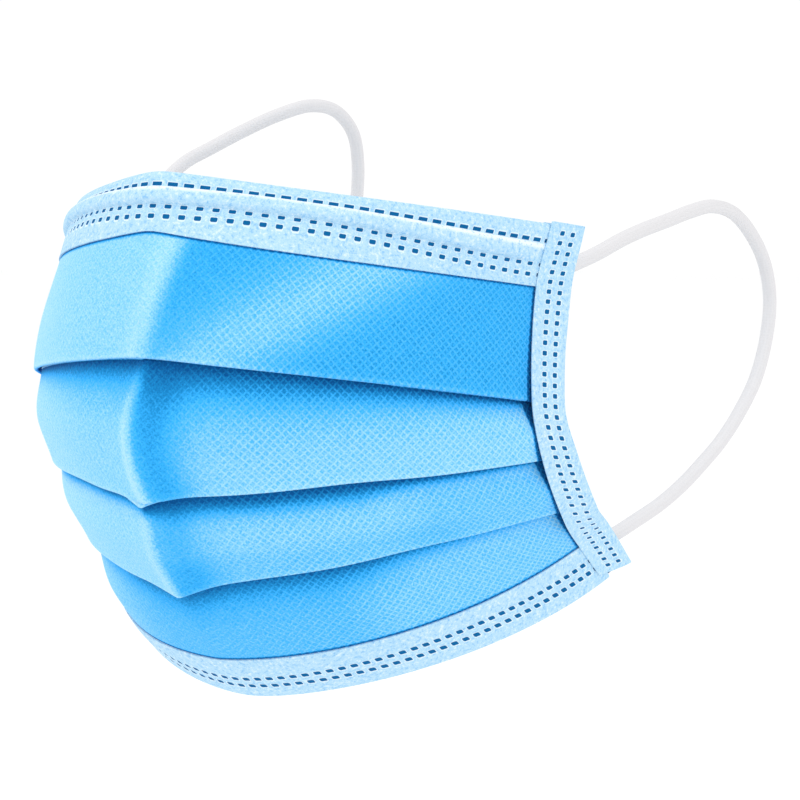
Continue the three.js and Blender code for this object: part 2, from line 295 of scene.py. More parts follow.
def grid_object(name, points, uv, values, flip=False):
    """A mesh of squares from a grid of points in millimetres, with a UV map and attributes."""
    rows, columns = points.shape[:2]
    index = np.arange(rows * columns).reshape(rows, columns)
    corners = [index[:-1, :-1], index[1:, :-1], index[1:, 1:], index[:-1, 1:]]
    faces = np.stack(corners[::-1] if flip else corners, -1).reshape(-1, 4)
    mesh = bpy.data.meshes.new(name)
    mesh.from_pydata((points.reshape(-1, 3) * MM).tolist(), [], faces.tolist())
    layer = mesh.uv_layers.new(name="cloth")
    layer.data.foreach_set("uv", uv.reshape(-1, 2)[faces.ravel()].ravel().astype(np.float32))
    for key, value in values.items():
        attribute = mesh.attributes.new(key, "FLOAT", "POINT")
        attribute.data.foreach_set("value", value.ravel().astype(np.float32))
    obj = bpy.data.objects.new(name, mesh)
    bpy.context.collection.objects.link(obj)
    return obj


def apply_modifier(obj, name, kind, **values):
    active(obj)
    modifier = obj.modifiers.new(name, kind)
    for key, value in values.items():
        setattr(modifier, key, value)
    bpy.ops.object.modifier_apply(modifier=modifier.name)


def thicken(obj, thickness, **values):
    apply_modifier(obj, "Thickness", "SOLIDIFY", thickness=thickness, offset=0, **values)


def round_off(obj):
    apply_modifier(obj, "Round", "SUBSURF", levels=1, render_levels=1,
                   boundary_smooth="PRESERVE_CORNERS")


def settle(obj, node, angle=60):
    """Shades a piece, and ties it to the frame in place of its solid."""
    active(obj)
    bpy.ops.object.shade_smooth_by_angle(angle=math.radians(angle))
    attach(obj, "root")
    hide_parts(node)


# ---------------------------------------------------------------- materials

class Finish:
    """A node material that is built step by step round one Principled shader."""

    def __init__(self, name, roughness, sheen=0.0, specular=0.3):
        self.material = bpy.data.materials.new(name)
        self.material.use_nodes = True
        self.nodes = self.material.node_tree.nodes
        self.links = self.material.node_tree.links
        self.shader = self.nodes["Principled BSDF"]
        self.shader.inputs["Roughness"].default_value = roughness
        self.shader.inputs["Sheen Weight"].default_value = sheen
        self.shader.inputs["Specular IOR Level"].default_value = specular

    def node(self, kind, inputs=None, **values):
        node = self.nodes.new(kind)
        for key, value in values.items():
            setattr(node, key, value)
        for key, value in (inputs or {}).items():
            if isinstance(value, bpy.types.NodeSocket):
                self.links.new(value, node.inputs[key])
            else:
                node.inputs[key].default_value = value
        return node

    def math(self, operation, a, b=0.0):
        return self.node("ShaderNodeMath", {0: a, 1: b}, operation=operation).outputs[0]

    def uv(self, scale, turn):
        """The piece's UV map, scaled and turned."""
        coordinates = self.node("ShaderNodeUVMap", uv_map="cloth").outputs["UV"]
        return self.node("ShaderNodeMapping", {
            "Vector": coordinates, "Rotation": (0, 0, turn), "Scale": (scale, scale, scale),
        }).outputs["Vector"]

    def object_place(self, stretch=(1, 1, 1)):
        coordinates = self.node("ShaderNodeTexCoord").outputs["Object"]
        return self.node("ShaderNodeMapping", {
            "Vector": coordinates, "Scale": stretch}).outputs["Vector"]

    def noise(self, vector, scale, detail=3.0, roughness=0.6):
        return self.node("ShaderNodeTexNoise", {
            "Vector": vector, "Scale": scale, "Detail": detail, "Roughness": roughness,
        }).outputs["Fac"]

    def attribute(self, name):
        return self.node("ShaderNodeAttribute", attribute_name=name).outputs["Fac"]

    def between(self, value, low, high, to_low=0.0, to_high=1.0):
        """A value that runs evenly from one number to another as the given one does."""
        return self.node("ShaderNodeMapRange", {
            "Value": value, "From Min": low, "From Max": high, "To Min": to_low, "To Max": to_high,
        }, interpolation_type="SMOOTHSTEP").outputs["Result"]

    def mix(self, factor, a, b):
        node = self.node("ShaderNodeMix", {"Factor": factor}, data_type="RGBA")
        for socket, value in ((node.inputs[6], a), (node.inputs[7], b)):
            if isinstance(value, bpy.types.NodeSocket):
                self.links.new(value, socket)
            else:
                socket.default_value = (*value, 1)
        return node.outputs[2]

    def bump(self, height, distance, strength, normal=None):
        inputs = {"Height": height, "Distance": distance, "Strength": strength}
        if normal is not None:
            inputs["Normal"] = normal
        return self.node("ShaderNodeBump", inputs).outputs["Normal"]

    def finish(self, base, normal):
        self.links.new(base, self.shader.inputs["Base Color"])
        self.links.new(normal, self.shader.inputs["Normal"])
        return self.material


UV_SPAN = 200      # millimetres of cloth across one unit of a UV map


def diamonds(finish, width_mm):
    """1 in the middle of each embossed diamond, 0 on the ribs between them."""
    turned = finish.uv(UV_SPAN / width_mm * math.sqrt(2), math.radians(45))
    parts = finish.node("ShaderNodeSeparateXYZ", {"Vector": turned})
    waves = []
    for i in (0, 1):
        angle = finish.math("MULTIPLY", parts.outputs[i], math.pi)
        waves.append(finish.math("ABSOLUTE", finish.math("SINE", angle)))
    return finish.math("MINIMUM", *waves)


def outer_cloth(settings):
    """Blue spunbonded cloth: one scale of blues, moved by painted shade and highlights at the folds
    and crease, the emboss and the grain.
    """
    finish = Finish("blue_spunbond", roughness=0.9, sheen=0.03, specular=0.12)
    pressed = finish.between(diamonds(finish, settings.diamond / MM), 0.28, 0.66)
    flat = finish.object_place()
    grain = finish.noise(flat, 2500, 2.0, 0.75)
    coarse = finish.noise(flat, 900, 3.0, 0.6)
    shade = finish.attribute("shade")
    emboss = finish.math("MULTIPLY", finish.attribute("emboss"), 0.2)
    pattern = finish.math("MULTIPLY", finish.math("SUBTRACT", pressed, 0.5), emboss)
    shade = finish.math("ADD", shade, pattern)
    speckle = finish.math("ADD", finish.between(grain, 0.25, 0.75, -0.17, 0.17),
                          finish.between(coarse, 0.3, 0.7, -0.02, 0.02))
    calm = finish.between(finish.attribute("shade"), 0.3, 0.75, 1.0, 0.4)
    shade = finish.math("ADD", shade, finish.math("MULTIPLY", speckle, calm))
    scale = finish.node("ShaderNodeValToRGB", {"Fac": shade})
    stops = ((0.0, settings.palest), (0.25, settings.pale), (0.5, settings.middle),
             (0.65, settings.strong), (0.8, settings.deep), (1.0, settings.deepest))
    elements = scale.color_ramp.elements
    while len(elements) < len(stops):
        elements.new(0.5)
    for element, (position, tone) in zip(elements, stops):
        element.position = position
        element.color = (*tone, 1)
    fibres = finish.noise(finish.object_place((1, 1, 6)), 700, 4.0, 0.7)
    normal = finish.bump(grain, 0.00012, 0.5)
    normal = finish.bump(fibres, 0.0001, 0.4, normal)
    normal = finish.bump(finish.math("SUBTRACT", 1.0, pressed), 0.00022, 0.5, normal)
    return finish.finish(scale.outputs["Color"], normal)


def inner_cloth(settings):
    """White inner layer, with the same emboss, fainter."""
    finish = Finish("white_inner_spunbond", roughness=0.88, sheen=0.2)
    pressed = finish.between(diamonds(finish, settings.diamond / MM), 0.3, 0.6)
    grain = finish.noise(finish.object_place(), 2400, 2.0, 0.7)
    shade = [c * 0.86 for c in settings.inside]
    colour_now = finish.mix(finish.math("MULTIPLY", pressed, 0.5), settings.inside, shade)
    colour_now = finish.mix(finish.between(grain, 0.55, 0.3, 0.0, 0.3), colour_now, shade)
    normal = finish.bump(grain, 0.00012, 0.5)
    normal = finish.bump(finish.math("SUBTRACT", 1.0, pressed), 0.0002, 0.5, normal)
    return finish.finish(colour_now, normal)


PALE_RIM = (0.74, 0.87, 0.95)   # cloth squeezed white round a weld dash


def strip_cloth(settings):
    """Blue-white strip cloth with speckle, a painted highlight over the nose wire, and weld dashes
    melted clear with pale rims.
    """
    finish = Finish("edge_strip_spunbond", roughness=0.88, specular=0.15)
    flat = finish.object_place()
    speckle = finish.noise(flat, 1300, 2.0, 0.75)
    fine = finish.noise(flat, 3600, 1.0, 0.6)
    deeper = [c * f for c, f in zip(settings.cloth, (0.42, 0.68, 0.93))]
    # a painted highlight over the nose wire, as much as the bright attribute gives
    base = finish.mix(finish.attribute("bright"), settings.cloth, settings.bright)
    colour_now = finish.mix(finish.between(speckle, 0.52, 0.68, 0.0, 0.65), base, deeper)
    for value, low, high, most in ((speckle, 0.47, 0.3, 0.6), (fine, 0.5, 0.75, 0.3)):
        colour_now = finish.mix(
            finish.between(value, low, high, 0.0, most), colour_now, settings.bright)
    weld = finish.attribute("weld")
    colour_now = finish.mix(finish.between(weld, 0.05, 0.3, 0.0, 0.85), colour_now, PALE_RIM)
    weld_tone = finish.mix(finish.between(speckle, 0.4, 0.7, 0.0, 0.4), settings.weld,
                           [c * 0.7 for c in settings.weld])
    colour_now = finish.mix(finish.between(weld, 0.4, 0.58), colour_now, weld_tone)
    normal = finish.bump(speckle, 0.00014, 0.5)
    normal = finish.bump(fine, 0.00008, 0.4, normal)
    return finish.finish(colour_now, normal)


WALES, COURSE = 12, 0.0007      # ribs round the elastic, and metres from one course to the next


def loop_cover(settings):
    """White knitted cover: fine ribs that wind round the elastic, with painted shade in the grooves
    between them.
    """
    finish = Finish("white_knit_elastic", roughness=0.85)
    coordinates = finish.node("ShaderNodeUVMap", uv_map="cloth").outputs["UV"]
    parts = finish.node("ShaderNodeSeparateXYZ", {"Vector": coordinates})
    around = finish.math("MULTIPLY", parts.outputs[0], WALES * 2 * math.pi)
    lengthwise = finish.math("MULTIPLY", parts.outputs[1], 2 * math.pi / COURSE)
    wales = finish.math("SINE", around)
    courses = finish.math("SINE", finish.math("ADD", lengthwise, finish.math("ABSOLUTE", wales)))
    knit = finish.math("ADD", finish.math("MULTIPLY", wales, 0.5),
                       finish.math("MULTIPLY", courses, 0.5))
    fuzz = finish.noise(finish.object_place(), 3000, 2.0)
    shade = [c * 0.9 for c in settings.cover]
    # painted shade in the grooves of the knit
    colour_now = finish.mix(finish.between(knit, 0.1, -0.8, 0.0, 0.35), settings.cover, shade)
    colour_now = finish.mix(finish.between(fuzz, 0.6, 0.3, 0.0, 0.3), colour_now, shade)
    normal = finish.bump(knit, 0.00006, 0.25)
    normal = finish.bump(fuzz, 0.0001, 0.3, normal)
    return finish.finish(colour_now, normal)


def plain_plastic():
    """Off-white plastic cover of the nose wire, with faint draw lines."""
    finish = Finish("wire_cover_plastic", roughness=0.45)
    lines = finish.noise(finish.object_place((1, 1, 30)), 300, 3.0)
    colour_now = finish.mix(finish.between(lines, 0.3, 0.7), (0.8, 0.8, 0.78), (0.7, 0.7, 0.69))
    return finish.finish(colour_now, finish.bump(lines, 0.00005, 0.4))


def floor_finish(settings):
    """Matt white floor that is not quite even."""
    finish = Finish("pale_floor", roughness=0.9, specular=0.1)
    mottle = finish.noise(finish.object_place(), 3.0)
    colour_now = finish.mix(finish.between(mottle, 0.3, 0.7), settings.floor,
                            [c * 0.99 for c in settings.floor])
    return finish.finish(colour_now, finish.bump(mottle, 0.001, 0.05))


# ---------------------------------------------------------------- the cloth

FOLD_RADIUS = 0.26              # millimetres, inside a pressed fold
FOLD_PEAKS = {3: 1.1, 4: 0.4}   # millimetres that a fold, by its row, dips at the crease
ROUND_A_FOLD = np.radians((0, 45, 90, 135, 180))
FAR = 99.0                      # millimetres, from cloth that has no fold above or below it
# How far the painted shadow under each fold reaches down, in millimetres, from side to side, and
# how abruptly it ends. It is painted shorter on the wearer's right, the side the key light comes
# from.
PAINTED_FOLD_SHADOWS = (
    ((-60, -40, -24, -10, 0, 8, 16, 30, 60, 80),
     (1.2, 2.4, 4.2, 5.6, 6.5, 8.6, 8.2, 7, 3.4, 1.5), 1.3),
    ((-60, -10, 0, 5, 40, 52, 80), (2.2, 2.4, 2.6, 4.4, 4.2, 2.2, 1.0), 2.5),
    ((-60, -32, -24, 0, 35, 46, 60, 80), (1.8, 2.4, 3.2, 4.6, 4.4, 2.6, 1.6, 1.0), 1.4),
)


def cloth_columns():
    """Distances from the middle, close together at the crease and beside the bindings."""
    half = np.concatenate([np.arange(0, 9, 0.4), np.arange(9, 77.5, 1), np.arange(78, 80.5, 0.3),
                           np.linspace(81, CLOTH_END, 6)])
    return np.concatenate([-half[:0:-1], half])


def eased(steps):
    """Shares from 0 to 1, closer together near both ends."""
    return (1 - np.cos(math.pi * np.arange(steps) / steps)) / 2


def eased_past(edge, before, after):
    """Shares from 0 to 1 that are close together at the edge of a hem as well."""
    return [edge * t for t in eased(before)] + [edge + (1 - edge) * t for t in eased(after)]


class Section:
    """The line of the folded cloth from top to bottom, for all columns at once."""

    def __init__(self, along, step, half_thickness):
        self.along, self.step, self.half = along, step, half_thickness
        self.down, self.out, self.hidden, self.below, self.above = [], [], [], [], []

    def add(self, down, out=0.0, hidden=0.0, below=FAR, above=FAR):
        for values, value in ((self.down, down), (self.out, out), (self.hidden, hidden),
                              (self.below, below), (self.above, above)):
            values.append(np.broadcast_to(value, self.along.shape).astype(float))

    def panel(self, top, fold, height, emerges, shares):
        """Cloth that shows, from under one fold (or the top edge) down to the next."""
        for t in shares:
            down = top + (fold - top) * t
            out = -2 * self.step * (1 - smooth((down - top) / (0.6 * height))) if emerges else 0.0
            puff = 0.5 * np.sin(math.pi * t) ** 2
            below = down - top - FOLD_RADIUS - self.half if emerges else FAR
            self.add(down, out + puff, below=below, above=fold - down)

    def tuck(self, fold, tuck):
        """Round the fold, up behind it, round again, and down behind both."""
        for angle in ROUND_A_FOLD:
            self.add(fold + FOLD_RADIUS * math.sin(angle), FOLD_RADIUS * (math.cos(angle) - 1),
                     hidden=angle / math.pi, above=0)
        for t in (0.25, 0.5, 0.75):
            self.add(fold - tuck * t, -2 * FOLD_RADIUS - (self.step - 2 * FOLD_RADIUS) * t, 1)
        radius = self.step / 2
        for angle in ROUND_A_FOLD:
            self.add(fold - tuck - radius * math.sin(angle),
                     -self.step - radius + radius * math.cos(angle), 1)
        for t in (0.3, 0.6, 0.85):
            self.add(fold - tuck * (1 - t), -2 * self.step, 1)

    def arrays(self):
        lines = (self.down, self.out, self.hidden, self.below, self.above)
        return [np.stack(values) for values in lines]


def fold_peak(along, row):
    """A pressed fold dips to a small point where the crease meets it."""
    return FOLD_PEAKS.get(row, 0) * np.exp(-np.abs(along) / 2.8)


def cloth_section(along, step, half_thickness):
    """The whole line of the cloth, panel by panel, with the tuck behind each fold."""
    places = profile(along)[1]
    section = Section(along, step, half_thickness)
    top = places[0]
    side = np.abs(along) / HALF_WIDTH
    for i, row in enumerate(FOLD_ROWS):
        fold = places[row] - FOLD_RADIUS - half_thickness + fold_peak(along, row)
        if i == 0:
            shares = eased_past((places[TOP_HEM_ROW] - top) / (fold - top), 6, 40)
        else:
            shares = eased((40, 34)[i - 1])
        section.panel(top, fold, fold - top, i > 0, shares)
        centre_tuck, side_tuck = TUCKS[i]
        section.tuck(fold, centre_tuck + (side_tuck - centre_tuck) * side)
        top = fold
    height, hem_edge = places[BOTTOM_ROW] - top, places[BOTTOM_HEM_ROW] - top
    section.panel(top, places[BOTTOM_ROW], hem_edge, True, eased_past(hem_edge / height, 32, 8))
    section.add(places[BOTTOM_ROW])
    return section.arrays()


def open_shade(along, share):
    """The painted light and shade of the open cloth, as a depth of blue: 0 is a painted highlight,
    0.25 pale, 0.65 strong, 1 deepest.
    """
    beyond = along - ridge_along(share)
    # painted tone beside the crease, paler out towards the wearer's right
    right = 0.26 * (1 - 0.6 * smooth((-along - 10) / 35))
    # first panel: painted shade right of the crease, a paler painted band slanting away from it,
    # and a painted highlight on the crease
    t = share - 1
    slack = 0.36 + 0.30 * (1 - hump(along, 43.5 - 32 * t, 13 - 2 * t))
    first = np.where(beyond > 0, right + (slack - right) * smooth((beyond - 0.5) / 5), right)
    first = first - 0.12 * hump(beyond, 0, 2.4)
    # second panel: a painted highlight on the crease, painted shade right beside it
    near = 0.28 + 0.4 * hump(beyond, 4.2, 6.2)
    second = right + (near - right) * smooth((beyond + 0.2) / 1.8)
    second = second - 0.26 * hump(beyond, -0.6, 1.2)
    # third panel: the same, with the painted shade deeper again towards the fold and the side
    t = share - 3
    near = (0.33 + 0.24 * hump(beyond, 4, 5.5)
            + 0.1 * smooth((t - 0.5) / 0.3) * smooth((64 - along) / 16)
            + 0.1 * smooth((along - 42) / 14))
    third = right * 0.85
    third = third + (near - third) * smooth((beyond + 0.2) / 1.4) - 0.12 * hump(beyond, -1, 1.2)
    # fourth panel: painted shade, deeper across the middle and paler towards the sides
    fourth = 0.27 + 0.24 * smooth((along + 34) / 28) * (1 - 0.5 * smooth((along - 26) / 14))
    return np.select([share < 2, share < 3, share < 4], [first, second, third], fourth)


def cloth_shade(along, down, hidden, below, above):
    """The open shade, with painted shadow under folds, in tucks, at hems and bindings, and painted
    highlight on fold edges.
    """
    share = row_share(along, down)
    shade = open_shade(along, share)
    # painted shadow under each fold: full at the fold, fading down the cloth below
    for i, (places, reaches, abruptness) in enumerate(PAINTED_FOLD_SHADOWS):
        reach = np.interp(along, places, reaches)
        cover = np.exp(-(np.maximum(below, 0) / reach) ** abruptness)
        shade = np.where((share >= i + 2) & (share < i + 3), shade + (1 - shade) * cover, shade)
    # a painted highlight along each fold edge
    shade = shade - 0.12 * np.exp(-above / 0.45)
    # painted shadow lines along the top hem's lower edge, the bottom hem's upper edge and the
    # bindings' inner edges
    places = profile(along)[1]
    hems = np.minimum(down - places[TOP_HEM_ROW], 0.75 * (places[BOTTOM_HEM_ROW] - down))
    edges = np.minimum(hems, BINDING_START - np.abs(along))
    shade = np.maximum(shade, 0.95 * np.exp(-(np.maximum(edges, 0) / 0.62) ** 4))
    # cloth hidden in the tucks is painted deepest
    return np.clip(np.maximum(shade, hidden), 0.02, 1)


def emboss_depth(along, shade):
    """The emboss shows best on the wearer's left, and fainter where the painted shade is deep."""
    shown = np.interp(along, (-30, -8, 4, 24, 60), (0.3, 0.3, 0.35, 1, 1))
    return shown * (1 - 0.45 * smooth((shade - 0.3) / 0.4))


def lengths_down(points):
    """How far each point of a grid is from the top, measured along its column."""
    gaps = np.linalg.norm(np.diff(points, axis=0), axis=-1)
    return np.concatenate([np.zeros_like(gaps[:1]), np.cumsum(gaps, 0)])


class FACEMASK_OT_cloth(bpy.types.Operator):
    """Make the pleated cloth of the mask"""
    bl_idname = "facemask.cloth"
    bl_label = "Pleated Cloth"

    def execute(self, context):
        settings = context.scene.mask_cloth
        along = cloth_columns()
        half = settings.thickness / MM / 2
        down, out, hidden, below, above = cloth_section(along, settings.layer_step / MM, half)
        across = np.broadcast_to(along, down.shape)
        points = place(across, down, out + relief(across, down))
        measured = lengths_down(points)
        shade = cloth_shade(across, down, hidden, below, above)
        cloth = grid_object("pleated_cloth_visual", points,
                            np.stack([across, -measured], -1) / UV_SPAN + 0.5,
                            {"shade": shade, "emboss": emboss_depth(across, shade)})
        cloth.data.materials.append(outer_cloth(settings))
        cloth.data.materials.append(inner_cloth(settings))
        thicken(cloth, settings.thickness, material_offset=1)
        settle(cloth, "pleated_cloth")
        return {"FINISHED"}


# ---------------------------------------------------------------- edge strips with weld dashes

# All in millimetres. HALF is half the length, or half the height, of a dash.
WELD_RIM = 0.24
HEM_OUT = 0.75                  # from the middle of the cloth to the middle of a hem's flap
HEM_REACH, HEM_DASH_REACH = 82.4, 80.8
HEM_DASH_HALF = 0.62
TOP_ROW_HALF, BOTTOM_ROW_HALF = 0.34, 0.52
# rows of dashes below the top edge: at the middle, and how much lower at the sides
TOP_DASH_ROWS = ((1.9, 1.1), (6.2, 1.8), (8.1, 2.1))
# rows of dashes above the bottom edge
BOTTOM_DASH_ROWS = (6.9, 4.1)
# the bulge over the nose wire, from below: share of its height, how far out, how much highlight is
# painted on
WIRE_BULGE = ((1, 0.45, 0), (0.88, 1.15, 0), (0.6, 1.35, 0), (0.34, 1.35, 0.1),
              (0.16, 1.25, 1), (0, 0.75, 1))


def dash_lines(centre, half):
    """Lines of the grid for one dash: rim, edge, edge, rim."""
    return [(centre - half - WELD_RIM, 0), (centre - half, 1), (centre + half, 1),
            (centre + half + WELD_RIM, 0)]


def long_dash_lines(centre, half):
    """The same with a second rim. In a row of long dashes the first rim is pressed as well."""
    rims = [(centre - half - WELD_RIM, 0.5), (centre - half, 1), (centre + half, 1),
            (centre + half + WELD_RIM, 0.5)]
    return [(centre - half - 2 * WELD_RIM, 0), *rims, (centre + half + 2 * WELD_RIM, 0)]


def dash_rows(centre, half, out, side, pressed=1):
    """The same lines as rows of a section, across a flap."""
    return [(line, out, pressed * press, side) for line, press in dash_lines(centre, half)]


def strip_object(name, columns, section, to_points, settings, flip=False):
    """A strip on a grid. Columns are (distance, pressed); section gives the lines across them."""
    along = np.array([c[0] for c in columns])
    pressed_columns = np.array([c[1] for c in columns])
    first, out, pressed_rows, side, bright = section(along)
    weld = np.where(pressed_rows[:, None] > 1, pressed_columns > 0.25, pressed_columns > 0.75)
    weld = weld * np.minimum(pressed_rows, 1)[:, None]
    out = out - side[:, None] * weld * settings.press / MM
    points = to_points(np.broadcast_to(along, out.shape), first, out)
    uv = np.stack([np.broadcast_to(along, out.shape), lengths_down(points)], -1) / UV_SPAN + 0.5
    strip = grid_object(name, points, uv,
                        {"weld": weld, "bright": np.broadcast_to(bright[:, None], out.shape)}, flip)
    round_off(strip)
    strip.data.materials.append(strip_cloth(settings))
    thicken(strip, settings.thickness, use_even_offset=True)
    return strip, lengths_down(points)[-1].mean()


def strip_columns(start, end, centres, half, lines_of=dash_lines):
    """Lines across a strip from end to end, with those of each dash."""
    lines = [(start, 0)]
    for centre in centres:
        lines += lines_of(centre, half)
    lines.append((end, 0))
    return lines


def hem_columns(pitch, lines_of):
    count = int(HEM_DASH_REACH / pitch)
    centres = [pitch * i for i in range(-count, count + 1)]
    return strip_columns(-HEM_REACH, HEM_REACH, centres, HEM_DASH_HALF, lines_of)


def hem_relief(along, down, out):
    """Points of a hem, which follows the crease and the waves of the cloth."""
    return place(along, down, out + relief(along, down))


def top_hem_section(along):
    """Front flap from its cut edge up, over the wire, round the top edge, and down the back."""
    edge = profile(along)[1][TOP_HEM_ROW]
    side = smooth((np.abs(along) - 30) / 50)
    upper, middle, lower = (down + more * side for down, more in TOP_DASH_ROWS)
    rows = [(edge, HEM_OUT, 0, 1)]
    for centre in (lower, middle):
        rows += dash_rows(centre, TOP_ROW_HALF, HEM_OUT + 0.05, 1)[::-1]
    fade = smooth((BINDING_START - np.abs(along)) / 8)
    top, height = upper + 0.75, middle - upper - 1.45
    for t, out, bright in WIRE_BULGE:
        rows.append((top + height * t, HEM_OUT + fade * out, 0, 1, bright))
    rows += dash_rows(upper, TOP_ROW_HALF, HEM_OUT + 0.06, 1, pressed=2)[::-1]
    for angle in np.radians((0, 60, 120, 180)):
        rows.append((-HEM_OUT * math.sin(angle), HEM_OUT * math.cos(angle), 0, 1))
    for centre, pressed in ((upper, 2), (middle, 1), (lower, 1)):
        rows += dash_rows(centre, TOP_ROW_HALF, -HEM_OUT, -1, pressed)
    rows += [(edge - 0.8, -HEM_OUT, 0, -1), (edge, -HEM_OUT, 0, -1)]
    return section_arrays(rows, along)


def bottom_hem_section(along):
    """Front flap from its cut edge down, round the bottom edge, and up the back."""
    places = profile(along)[1]
    top, edge = places[BOTTOM_HEM_ROW], places[BOTTOM_ROW]
    rows = [(top, HEM_OUT, 0, 1), (top + 0.35, HEM_OUT, 0, 1), (top + 2.2, HEM_OUT + 0.08, 0, 1),
            (top + 4.2, HEM_OUT + 0.08, 0, 1)]
    for centre in BOTTOM_DASH_ROWS:
        rows += dash_rows(edge - centre, BOTTOM_ROW_HALF, HEM_OUT + 0.04, 1)
    rows.append((edge - 1.6, HEM_OUT + 0.05, 0, 1))
    for angle in np.radians((0, 36, 72, 108, 144, 180)):
        rows.append((edge + HEM_OUT * math.sin(angle), HEM_OUT * math.cos(angle), 0, 1))
    rows.append((edge - 1.6, -HEM_OUT, 0, -1))
    for centre in BOTTOM_DASH_ROWS[::-1]:
        rows += dash_rows(edge - centre, BOTTOM_ROW_HALF, -HEM_OUT, -1)[::-1]
    rows += [(top + 3.0, -HEM_OUT, 0, -1), (top, -HEM_OUT, 0, -1)]
    return section_arrays(rows, along)


def section_arrays(rows, along):
    """Arrays from rows of (first, out, pressed, side, bright); the last may be left out.

    first is the place across the strip. Pressed is 1 in a row of dashes and 2 in one of long
    dashes. Side is 1 on the front flap, which is pressed inwards, and -1 on the back.
    """
    first, out = (np.stack([np.broadcast_to(row[i], along.shape).astype(float) for row in rows])
                  for i in (0, 1))
    pressed, side = (np.array([row[i] for row in rows]) for i in (2, 3))
    # bright: how much highlight is painted on each row, over the nose wire
    bright = np.array([row[4] if len(row) > 4 else 0 for row in rows])
    return first, out, pressed, side, bright


class FACEMASK_OT_hems(bpy.types.Operator):
    """Make the white strips folded over the top and bottom edges"""
    bl_idname = "facemask.hems"
    bl_label = "Hems"

    def execute(self, context):
        settings = context.scene.mask_strips
        for edge, section, pitch, lines_of, flip in (
                ("top", top_hem_section, settings.pitch, long_dash_lines, True),
                ("bottom", bottom_hem_section, settings.bottom_pitch, dash_lines, False)):
            columns = hem_columns(pitch / MM, lines_of)
            strip, width = strip_object(f"{edge}_hem_visual", columns, section, hem_relief,
                                        settings, flip)
            settle(strip, f"{edge}_hem")
        return {"FINISHED"}


BINDING_FOLD, BINDING_OUT = 90.1, 1.2
BINDING_TURN = 0.9              # how far before the fold the flaps start to turn
BINDING_OVERHANG = 1.2          # past the top and bottom edges
SIDE_DASH_ACROSS, SIDE_DASH_HALF = 0.52, 0.4
SIDE_DASH_ALONG = (83.4, 86.4)
FIRST_SIDE_DASH, LAST_SIDE_DASH = 1.0, 0.8      # from the top edge and from the bottom edge
# where the binding turns under, its dashes stand wider apart: how much, where, over how far
WIDER = (0.75, 66, 8)


def binding_back(down):
    """How far behind the cloth the back flap lies: further where it holds the folded layers."""
    swell = smooth((down - 20) / 4) * smooth((71.5 - down) / 4)
    return -1.15 - 1.35 * swell


def binding_section(down):
    """Front flap from its cut edge out, round the side, and back along the inside."""
    back = binding_back(down)
    rows = [(BINDING_START, BINDING_OUT - 0.12, 0, 1), (BINDING_START + 0.3, BINDING_OUT, 0, 1),
            (BINDING_START + 1.2, BINDING_OUT, 0, 1)]
    for centre in SIDE_DASH_ALONG:
        rows += dash_rows(centre, SIDE_DASH_ACROSS, BINDING_OUT, 1)
    middle, radius = (BINDING_OUT + back) / 2, (BINDING_OUT - back) / 2
    turn = BINDING_FOLD - BINDING_TURN
    for angle in np.radians((0, 30, 60, 90, 120, 150, 180)):
        rows.append((turn + BINDING_TURN * math.sin(angle), middle + radius * math.cos(angle),
                     0, 1))
    for centre in SIDE_DASH_ALONG[::-1]:
        rows += dash_rows(centre, SIDE_DASH_ACROSS, back, -1)[::-1]
    rows += [(BINDING_START + 1.2, back, 0, -1), (BINDING_START, back + 0.1, 0, -1)]
    return section_arrays(rows, down)


def side_dash_centres(pitch, bottom):
    """Where the dashes of a binding stand, down from the top edge."""
    more, where, reach = WIDER
    centres = [FIRST_SIDE_DASH]
    while centres[-1] < bottom - LAST_SIDE_DASH - pitch:
        centres.append(centres[-1] + pitch * (1 + more * hump(centres[-1], where, reach)))
    return centres


class FACEMASK_OT_bindings(bpy.types.Operator):
    """Make the white strips folded round the two sides"""
    bl_idname = "facemask.bindings"
    bl_label = "Side Bindings"

    def execute(self, context):
        settings = context.scene.mask_strips
        bottom = profile(np.array([float(HALF_WIDTH)]))[1][BOTTOM_ROW][0]
        centres = side_dash_centres(settings.side_pitch / MM, bottom)
        columns = strip_columns(-BINDING_OVERHANG, bottom + BINDING_OVERHANG, centres,
                                SIDE_DASH_HALF)
        for side_name, side in (("left", 1), ("right", -1)):
            def to_points(down, along, out, side=side):
                return place(side * along, down, out)

            strip, width = strip_object(f"side_binding_{side_name}_visual", columns,
                                        binding_section, to_points, settings, flip=side > 0)
            settle(strip, f"side_binding_{side_name}")
        return {"FINISHED"}


# ---------------------------------------------------------------- the loops

ROUTE_STEPS = 12                # from one point of a route to the next
FLAT_END, FLAT_LENGTH = 0.45, 0.003     # how flat, and over how many metres, the ends are pressed
# The welded ends, in metres, and where they lie on the cloth, in millimetres.
TAB_LENGTH, TAB_WIDTH, TAB_THICKNESS = 0.0046, 0.0036, 0.0007
POCKET_RIM, POCKET_DEPTH = 0.00011, 0.00014
TAB_ALONG, TAB_OUT = 83.5, -2.25


